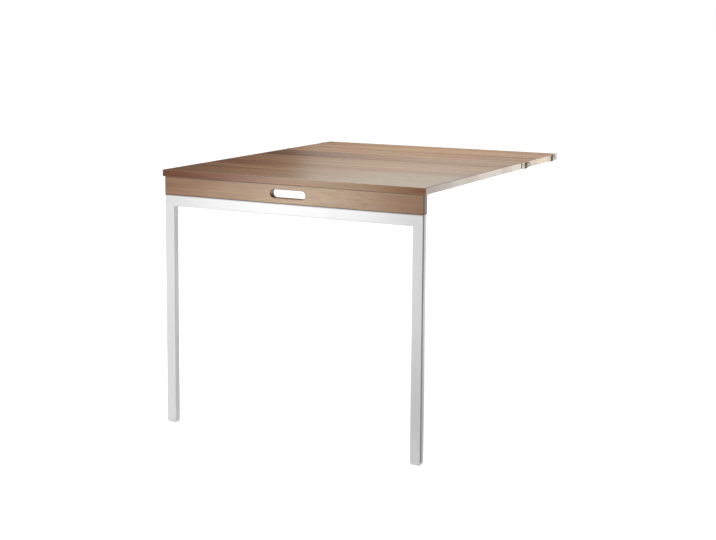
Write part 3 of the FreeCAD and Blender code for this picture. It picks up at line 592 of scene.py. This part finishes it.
def lacquered_wood(name, node_name, base_roughness=0.25, specular=0.35, **figure):
    """Veneer or solid wood under a thin satin lacquer."""
    material, graph, shader, coordinates = start_material(name)
    low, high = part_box(node_name)
    wood = place_group(
        graph,
        WOOD_FIGURE,
        Place=coordinates.outputs["Object"],
        Facing=coordinates.outputs["Normal"],
        Low_Corner=low,
        High_Corner=high,
        **figure,
    )
    graph.join(wood.outputs["Color"], shader.inputs["Base Color"])
    roughness = graph.math("ADD", wood.outputs["Roughness Change"], base_roughness - 0.08)
    graph.join(roughness, shader.inputs["Roughness"])
    shader.inputs["Specular IOR Level"].default_value = specular
    bump(graph, shader, wood.outputs["Height"], 0.05 * MILLIMETRE, 0.6)
    return material


def coated(name, colour, base_roughness, peel_scale, bump_depth, **skin_inputs):
    """Powder coat or moulded plastic."""
    material, graph, shader, coordinates = start_material(name)
    skin = place_group(
        graph,
        COATING_SKIN,
        Place=coordinates.outputs["Object"],
        Facing=coordinates.outputs["Normal"],
        Color=colour,
        Peel_Scale=peel_scale,
        **skin_inputs,
    )
    graph.join(skin.outputs["Color"], shader.inputs["Base Color"])
    roughness = graph.math("ADD", skin.outputs["Roughness Change"], base_roughness)
    graph.join(roughness, shader.inputs["Roughness"])
    bump(graph, shader, skin.outputs["Height"], bump_depth, 0.5)
    return material


def plated(name, bright, dull, base_roughness, metallic=1.0, blotch_scale=220.0, painted_tip_highlight=None):
    """Rolled steel under a thin plating, with an optional painted highlight far out from the table's middle.
    """
    material, graph, shader, coordinates = start_material(name)
    skin = place_group(
        graph,
        METAL_SKIN,
        Place=coordinates.outputs["Object"],
        Bright=bright,
        Dull=dull,
        Blotch_Scale=blotch_scale,
    )
    colour = skin.outputs["Color"]
    if painted_tip_highlight:
        # Painted highlight: the outer tips are made lighter.
        sideways = graph.math("ABSOLUTE", graph.along(coordinates.outputs["Object"], "X"))
        colour = graph.blend(graph.span(sideways, *TIP_PAINTED_HIGHLIGHT_SPAN), colour, painted_tip_highlight)
    graph.join(colour, shader.inputs["Base Color"])
    roughness = graph.math("ADD", skin.outputs["Roughness Change"], base_roughness)
    graph.join(roughness, shader.inputs["Roughness"])
    shader.inputs["Metallic"].default_value = metallic
    bump(graph, shader, skin.outputs["Height"], 0.02 * MILLIMETRE, 0.5)
    return material


# Its warmth slope, tone slope and drift are painted light and shade: paler and greyer towards the front
# right, darker towards the left end.
leaf_wood = lacquered_wood(
    "Walnut of the leaf",
    "drop_leaf",
    Seed=3.4,
    Warmth=0.95,
    Warmth_Slope=1.3,
    Warmth_Limit=0.70,
    Edge_Tint=LEAF_EDGE_TINT,
    Edge_Worn=LEAF_EDGE_PAINTED_SHADE,
    Bleach=0.5,
    Tone=0.485,
    Tone_Slope=-0.30,
    Drift=0.26,
    Drift_Phase=-0.7,
)
shelf_wood = lacquered_wood(
    "Walnut of the shelf",
    "fixed_shelf",
    Light=GOLDEN_LIGHT,
    End=SHELF_END_WITH_PAINTED_LIGHT,
    Edge_Tint=SHELF_EDGE_PAINTED_SHADE,
    Seed=11.2,
    Warmth=0.9,
    Tone=0.58,
)
# Its drift is painted light and shade: lighter in the middle, darker towards both ends.
apron_wood = lacquered_wood(
    "Walnut of the apron",
    "apron",
    End_Front=APRON_END,
    Joint_Shade=0.8,
    Corner_Line=1.0,
    Seed=27.7,
    Warmth=0.88,
    Tone=0.515,
    Drift=0.30,
    Wander=0.015,
)
dowel_wood = lacquered_wood(
    "Beech of the dowels",
    "apron_dowels",
    Dark=(0.48, 0.31, 0.17),
    Middle=(0.62, 0.43, 0.26),
    Light=(0.72, 0.54, 0.36),
    End=(0.66, 0.50, 0.34),
    End_Front=(0.66, 0.50, 0.34),
    Stave_Width=0.5,
    Ring_Spacing=0.0025,
    base_roughness=0.6,
)
white_coat = coated(
    "White powder coat",
    WHITE_COAT,
    0.28,
    900.0,
    0.03 * MILLIMETRE,
    Middle_Lift=RAIL_PAINTED_HIGHLIGHT,
    Low_Soil=LEG_PAINTED_SHADE,
    Side_Soil=SIDE_PAINTED_SHADE,
    Corner_Line=1.0,
)
foot_plastic = coated("White foot plastic", FOOT_WHITE, 0.52, 1600.0, 0.02 * MILLIMETRE, Marks=0.10)
pad_rubber = coated("Black pad rubber", PAD_BLACK, 0.75, 1200.0, 0.05 * MILLIMETRE, Marks=-0.30)
zinc_plate = plated("Zinc plate", ZINC, ZINC_DULL, 0.34)
screw_zinc = plated("Zinc of the screws", ZINC, ZINC_DULL, 0.28, blotch_scale=500.0)
hook_steel = plated(
    "Browned steel of the hooks", HOOK_STEEL_WORN, HOOK_STEEL, 0.45, metallic=0.0, painted_tip_highlight=HOOK_TIP_PAINTED_HIGHLIGHT
)

DRESS = {
    "fixed_shelf": shelf_wood,
    "drop_leaf": leaf_wood,
    "apron": apron_wood,
    "apron_dowels": dowel_wood,
    "top_rail": white_coat,
    "left_leg": white_coat,
    "right_leg": white_coat,
    "left_foot": foot_plastic,
    "right_foot": foot_plastic,
    "left_rest_pad": pad_rubber,
    "right_rest_pad": pad_rubber,
}


def dress(piece, material):
    piece.data.materials.clear()
    piece.data.materials.append(material)


for node_name, piece in nodes.items():
    if node_name in DRESS:
        dress(piece, DRESS[node_name])
    elif node_name.endswith("rung_hook"):
        dress(piece, hook_steel)
    else:
        dress(piece, zinc_plate)


# ---- screws ---------------------------------------------------------------------------------------

SCREW_GROUPS = {
    "hook_screws": "shelf",
    "shelf_wing_screws": "shelf",
    "leaf_wing_screws": "leaf",
    "apron_wing_screws": "leaf",
    "rail_wing_screws": "leg_frame",
}
HEAD_RADIUS = 3.2 * MILLIMETRE
SHANK_RADIUS = 1.75 * MILLIMETRE
THREAD_PITCH = 1.3 * MILLIMETRE
THREAD_DEPTH = 0.35 * MILLIMETRE
RECESS_SPAN = 3.4 * MILLIMETRE
RECESS_WIDTH = 0.8 * MILLIMETRE
RECESS_DEPTH = 1.0 * MILLIMETRE
# How much of the core is threaded, and where along it the thread ends.
THREADED_SHARE = 0.88
THREAD_END_SHARE = 0.97
# Each screw of a row was driven home at an angle of its own.
TURN_STEP = math.radians(37.0)


def screw_maker():
    """A tree that puts a countersunk cross-recess screw at each vertex, turned by its attribute."""
    tree = bpy.data.node_groups.new("Countersunk screws", "GeometryNodeTree")
    sockets = tree.interface
    sockets.new_socket("Spots", in_out="INPUT", socket_type="NodeSocketGeometry")
    for name in (
        "Head Radius",
        "Shank Radius",
        "Length",
        "Thread Pitch",
        "Thread Depth",
        "Recess Span",
        "Recess Width",
        "Recess Depth",
    ):
        sockets.new_socket(name, in_out="INPUT", socket_type="NodeSocketFloat")
    sockets.new_socket("Finish", in_out="INPUT", socket_type="NodeSocketMaterial")
    sockets.new_socket("Screws", in_out="OUTPUT", socket_type="NodeSocketGeometry")
    graph = Graph(tree)
    given = graph.add("NodeGroupInput").outputs
    leave = graph.add("NodeGroupOutput")

    def moved(geometry, x=0.0, y=0.0, z=0.0):
        place = graph.add("ShaderNodeCombineXYZ")
        for axis, value in zip("XYZ", (x, y, z)):
            graph.feed(place, **{axis: value})
        node = graph.add("GeometryNodeTransform")
        graph.feed(node, Geometry=geometry, Translation=place.outputs[0])
        return node.outputs[0]

    # The head is a cone whose flat top lies at z = 0 and whose shank goes down from it.
    cone_height = graph.math("SUBTRACT", given["Head Radius"], given["Shank Radius"])
    head = graph.add("GeometryNodeMeshCone", fill_type="NGON")
    graph.feed(
        head,
        Vertices=28,
        Radius_Bottom=given["Shank Radius"],
        Radius_Top=given["Head Radius"],
        Depth=cone_height,
    )
    head_down = moved(head.outputs["Mesh"], z=graph.math("MULTIPLY", cone_height, -1.0))

    # The recess is a cross of two bars that is cut out of the head.
    bars = []
    for spans in (("Recess Span", "Recess Width"), ("Recess Width", "Recess Span")):
        size = graph.add("ShaderNodeCombineXYZ")
        graph.feed(
            size,
            X=given[spans[0]],
            Y=given[spans[1]],
            Z=graph.math("MULTIPLY", given["Recess Depth"], 2.0),
        )
        bar = graph.add("GeometryNodeMeshCube")
        graph.feed(bar, Size=size.outputs[0])
        bars.append(bar.outputs["Mesh"])
    cut = graph.add("GeometryNodeMeshBoolean", operation="DIFFERENCE")
    graph.join(head_down, cut.inputs["Mesh 1"])
    for bar in bars:
        graph.join(bar, cut.inputs["Mesh 2"])

    # The shank has a core and a thread wound round it.
    core_radius = graph.math("SUBTRACT", given["Shank Radius"], given["Thread Depth"])
    core_length = graph.math("SUBTRACT", given["Length"], cone_height)
    core = graph.add("GeometryNodeMeshCylinder", fill_type="NGON")
    graph.feed(core, Vertices=20, Radius=core_radius, Depth=core_length)
    core_middle = graph.math("ADD", cone_height, graph.math("MULTIPLY", core_length, 0.5))
    core_down = moved(core.outputs["Mesh"], z=graph.math("MULTIPLY", core_middle, -1.0))

    thread_length = graph.math("MULTIPLY", core_length, THREADED_SHARE)
    turns = graph.math("DIVIDE", thread_length, given["Thread Pitch"])
    thread_middle = graph.math("SUBTRACT", core_radius, graph.math("MULTIPLY", given["Thread Depth"], 0.1))
    helix = graph.add("GeometryNodeCurveSpiral")
    graph.feed(
        helix,
        Resolution=18,
        Rotations=turns,
        Start_Radius=thread_middle,
        End_Radius=thread_middle,
        Height=thread_length,
    )
    ridge = graph.add("GeometryNodeCurvePrimitiveCircle", mode="RADIUS")
    graph.feed(ridge, Resolution=4, Radius=given["Thread Depth"])
    wound = graph.add("GeometryNodeCurveToMesh")
    graph.feed(wound, Curve=helix.outputs[0], Profile_Curve=ridge.outputs["Curve"], Fill_Caps=True)
    thread_end = graph.math("ADD", cone_height, graph.math("MULTIPLY", core_length, THREAD_END_SHARE))
    thread_down = moved(wound.outputs[0], z=graph.math("MULTIPLY", thread_end, -1.0))

    whole = graph.add("GeometryNodeJoinGeometry")
    for part in (cut.outputs["Mesh"], core_down, thread_down):
        graph.join(part, whole.inputs[0])

    turn = graph.add("GeometryNodeInputNamedAttribute", data_type="FLOAT_VECTOR")
    turn.inputs["Name"].default_value = "turn"
    spin = graph.add("FunctionNodeEulerToRotation")
    graph.join(turn.outputs["Attribute"], spin.inputs[0])
    many = graph.add("GeometryNodeInstanceOnPoints")
    graph.feed(many, Points=given["Spots"], Instance=whole.outputs[0], Rotation=spin.outputs[0])
    real = graph.add("GeometryNodeRealizeInstances")
    graph.join(many.outputs[0], real.inputs[0])
    finish = graph.add("GeometryNodeSetMaterial")
    graph.feed(finish, Geometry=real.outputs[0], Material=given["Finish"])
    graph.join(finish.outputs[0], leave.inputs[0])
    return tree


def islands(mesh):
    """The separate solids of a mesh, each as a list of its points."""
    work = bmesh.new()
    work.from_mesh(mesh)
    bmesh.ops.remove_doubles(work, verts=work.verts, dist=0.01 * MILLIMETRE)
    waiting = set(work.verts)
    found = []
    while waiting:
        seed = waiting.pop()
        island = [seed]
        reach = [seed]
        while reach:
            for edge in reach.pop().link_edges:
                for vertex in edge.verts:
                    if vertex in waiting:
                        waiting.discard(vertex)
                        island.append(vertex)
                        reach.append(vertex)
        found.append([vertex.co.copy() for vertex in island])
    work.free()
    return found


def box_of(points):
    """The low and high corners of the box round some points."""
    low = Vector([min(point[axis] for point in points) for axis in range(3)])
    high = Vector([max(point[axis] for point in points) for axis in range(3)])
    return low, high


def screw_axis(points):
    """Where a screw's head lies, which way its shank goes and how long it is."""
    low, high = box_of(points)
    size = high - low
    long_axis = max(range(3), key=lambda axis: size[axis])
    centre = (low + high) / 2
    cross = [axis for axis in range(3) if axis != long_axis]

    def widest(level):
        """The widest reach of the points at one end of the screw."""
        near = [point for point in points if abs(point[long_axis] - level) < size[long_axis] * 0.02]
        return max(math.hypot(*(point[axis] - centre[axis] for axis in cross)) for point in near)

    head_low = widest(low[long_axis]) > widest(high[long_axis])
    head = centre.copy()
    head[long_axis] = low[long_axis] if head_low else high[long_axis]
    direction = Vector((0, 0, 0))
    direction[long_axis] = 1.0 if head_low else -1.0
    return head, direction, size[long_axis]


SCREW_MAKER = screw_maker()


def set_input(modifier, name, value):
    """Sets a modifier's input by its socket's identifier."""
    for item in modifier.node_group.interface.items_tree:
        if item.item_type == "SOCKET" and item.in_out == "INPUT" and item.name == name:
            modifier[item.identifier] = value
            return
    raise KeyError(name)


def make_screws(node_name, body):
    """Replaces a group of plain screws by detailed ones on the same axes."""
    screws = [screw_axis(points) for points in islands(nodes[node_name].data)]
    screws.sort(key=lambda entry: tuple(round(value, 4) for value in entry[0]))
    spots = bpy.data.meshes.new(node_name + "_spots")
    spots.from_pydata([head for head, _, _ in screws], [], [])
    turns = spots.attributes.new("turn", "FLOAT_VECTOR", "POINT")
    for index, (_, direction, _) in enumerate(screws):
        facing = direction.to_track_quat("-Z", "Y").to_matrix()
        spun = facing @ Matrix.Rotation(TURN_STEP * index, 3, "Z")
        turns.data[index].vector = spun.to_euler()
    maker = bpy.data.objects.new(node_name + "_maker", spots)
    bpy.context.scene.collection.objects.link(maker)
    modifier = maker.modifiers.new("Screws", "NODES")
    modifier.node_group = SCREW_MAKER
    for name, value in (
        ("Head Radius", HEAD_RADIUS),
        ("Shank Radius", SHANK_RADIUS),
        ("Length", screws[0][2]),
        ("Thread Pitch", THREAD_PITCH),
        ("Thread Depth", THREAD_DEPTH),
        ("Recess Span", RECESS_SPAN),
        ("Recess Width", RECESS_WIDTH),
        ("Recess Depth", RECESS_DEPTH),
        ("Finish", screw_zinc),
    ):
        set_input(modifier, name, value)
    bpy.context.view_layer.update()
    evaluated = maker.evaluated_get(bpy.context.evaluated_depsgraph_get())
    mesh = bpy.data.meshes.new_from_object(evaluated)
    mesh.name = node_name + "_threaded"
    bpy.data.objects.remove(maker)
    piece = bpy.data.objects.new(node_name + "_threaded", mesh)
    bpy.context.scene.collection.objects.link(piece)
    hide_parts(node_name)
    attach(piece, body)


for node_name, body_name in SCREW_GROUPS.items():
    make_screws(node_name, body_name)


# ---- studio ---------------------------------------------------------------------------------------


def seen_white(graph, right_side):
    """Where white is seen: by the camera, through clear things, and in mirrors on the right side."""
    path = graph.add("ShaderNodeLightPath")
    mirrored = graph.math("MULTIPLY", path.outputs["Is Glossy Ray"], right_side)
    direct = graph.math("ADD", path.outputs["Is Camera Ray"], path.outputs["Is Transmission Ray"])
    return graph.math("ADD", direct, mirrored, clamp=True)


def make_floor():
    """A pale floor that shows as white, apart from the object's own soft shadow."""
    mesh = bpy.data.meshes.new("floor")
    corners = [(x * FLOOR_HALF, y * FLOOR_HALF, 0.0) for x, y in ((-1, -1), (1, -1), (1, 1), (-1, 1))]
    mesh.from_pydata(corners, [], [(0, 1, 2, 3)])
    floor = bpy.data.objects.new("floor", mesh)
    bpy.context.scene.collection.objects.link(floor)
    material = bpy.data.materials.new("Studio floor")
    material.use_nodes = True
    graph = Graph(material.node_tree)
    material.node_tree.nodes.clear()
    output = graph.add("ShaderNodeOutputMaterial")
    matte = graph.add("ShaderNodeBsdfDiffuse")
    matte.inputs["Color"].default_value = (FLOOR_PALE, FLOOR_PALE, FLOOR_PALE, 1.0)
    glow = graph.add("ShaderNodeEmission")
    glow.inputs["Color"].default_value = (1.0, 1.0, 1.0, 1.0)
    place = graph.add("ShaderNodeTexCoord").outputs["Object"]
    right_side = graph.span(graph.along(place, "X"), *DIM_FLOOR_SPAN, DIM_SIDE_LEVEL, 1.0, smooth=True)
    reach = graph.add("ShaderNodeVectorMath", operation="LENGTH")
    graph.join(place, reach.inputs[0])
    level = graph.span(
        reach.outputs["Value"], *FLOOR_GLOW_REACH, FLOOR_GLOW_NEAR, FLOOR_GLOW_FAR, smooth=True
    )
    graph.join(graph.math("MULTIPLY", seen_white(graph, right_side), level), glow.inputs["Strength"])
    both = graph.add("ShaderNodeAddShader")
    graph.join(matte.outputs[0], both.inputs[0])
    graph.join(glow.outputs[0], both.inputs[1])
    graph.join(both.outputs[0], output.inputs[0])
    mesh.materials.append(material)


def make_world():
    """White behind the object, and an even pale room for everything that it lights."""
    world = bpy.data.worlds.new("Studio")
    bpy.context.scene.world = world
    world.use_nodes = True
    graph = Graph(world.node_tree)
    world.node_tree.nodes.clear()
    output = graph.add("ShaderNodeOutputWorld")
    background = graph.add("ShaderNodeBackground")
    aim = graph.add("ShaderNodeVectorMath", operation="DOT_PRODUCT")
    graph.join(graph.add("ShaderNodeTexCoord").outputs["Generated"], aim.inputs[0])
    aim.inputs[1].default_value = DIM_SIDE.normalized()
    right_side = graph.span(aim.outputs["Value"], *DIM_SIDE_SPAN, 1.0, DIM_SIDE_LEVEL, smooth=True)
    diffuse = graph.add("ShaderNodeLightPath").outputs["Is Diffuse Ray"]
    ambient = graph.math("MULTIPLY", diffuse, ROOM_LEVEL)
    graph.join(graph.math("ADD", seen_white(graph, right_side), ambient), background.inputs["Strength"])
    background.inputs["Color"].default_value = (1.0, 1.0, 1.0, 1.0)
    graph.join(background.outputs[0], output.inputs[0])


def make_softbox(name, place, target, width, height, power, mirrored):
    """A rectangular soft light that faces a point."""
    light = bpy.data.lights.new(name, "AREA")
    light.shape = "RECTANGLE"
    light.size = width
    light.size_y = height
    light.energy = power
    lamp = bpy.data.objects.new(name, light)
    lamp.location = place
    lamp.rotation_euler = (Vector(target) - Vector(place)).to_track_quat("-Z", "Y").to_euler()
    lamp.visible_glossy = mirrored
    bpy.context.scene.collection.objects.link(lamp)


def make_camera():
    data = bpy.data.cameras.new("camera")
    data.sensor_width = SENSOR_WIDTH_MM
    data.lens = FOCAL_LENGTH_PX / PICTURE_WIDTH * SENSOR_WIDTH_MM
    data.shift_x, data.shift_y = CAMERA_SHIFT
    data.clip_end = 100.0
    camera = bpy.data.objects.new("camera", data)
    turn = (
        Matrix.Rotation(CAMERA_HEADING, 4, "Z")
        @ Matrix.Rotation(math.pi / 2 - CAMERA_TILT, 4, "X")
        @ Matrix.Rotation(CAMERA_ROLL, 4, "Z")
    )
    camera.matrix_world = Matrix.Translation(CAMERA_PLACE) @ turn
    bpy.context.scene.collection.objects.link(camera)
    bpy.context.scene.camera = camera


make_floor()
make_world()
make_camera()
for softbox in SOFTBOXES:
    make_softbox(*softbox)

bpy.context.scene.view_settings.view_transform = "Standard"
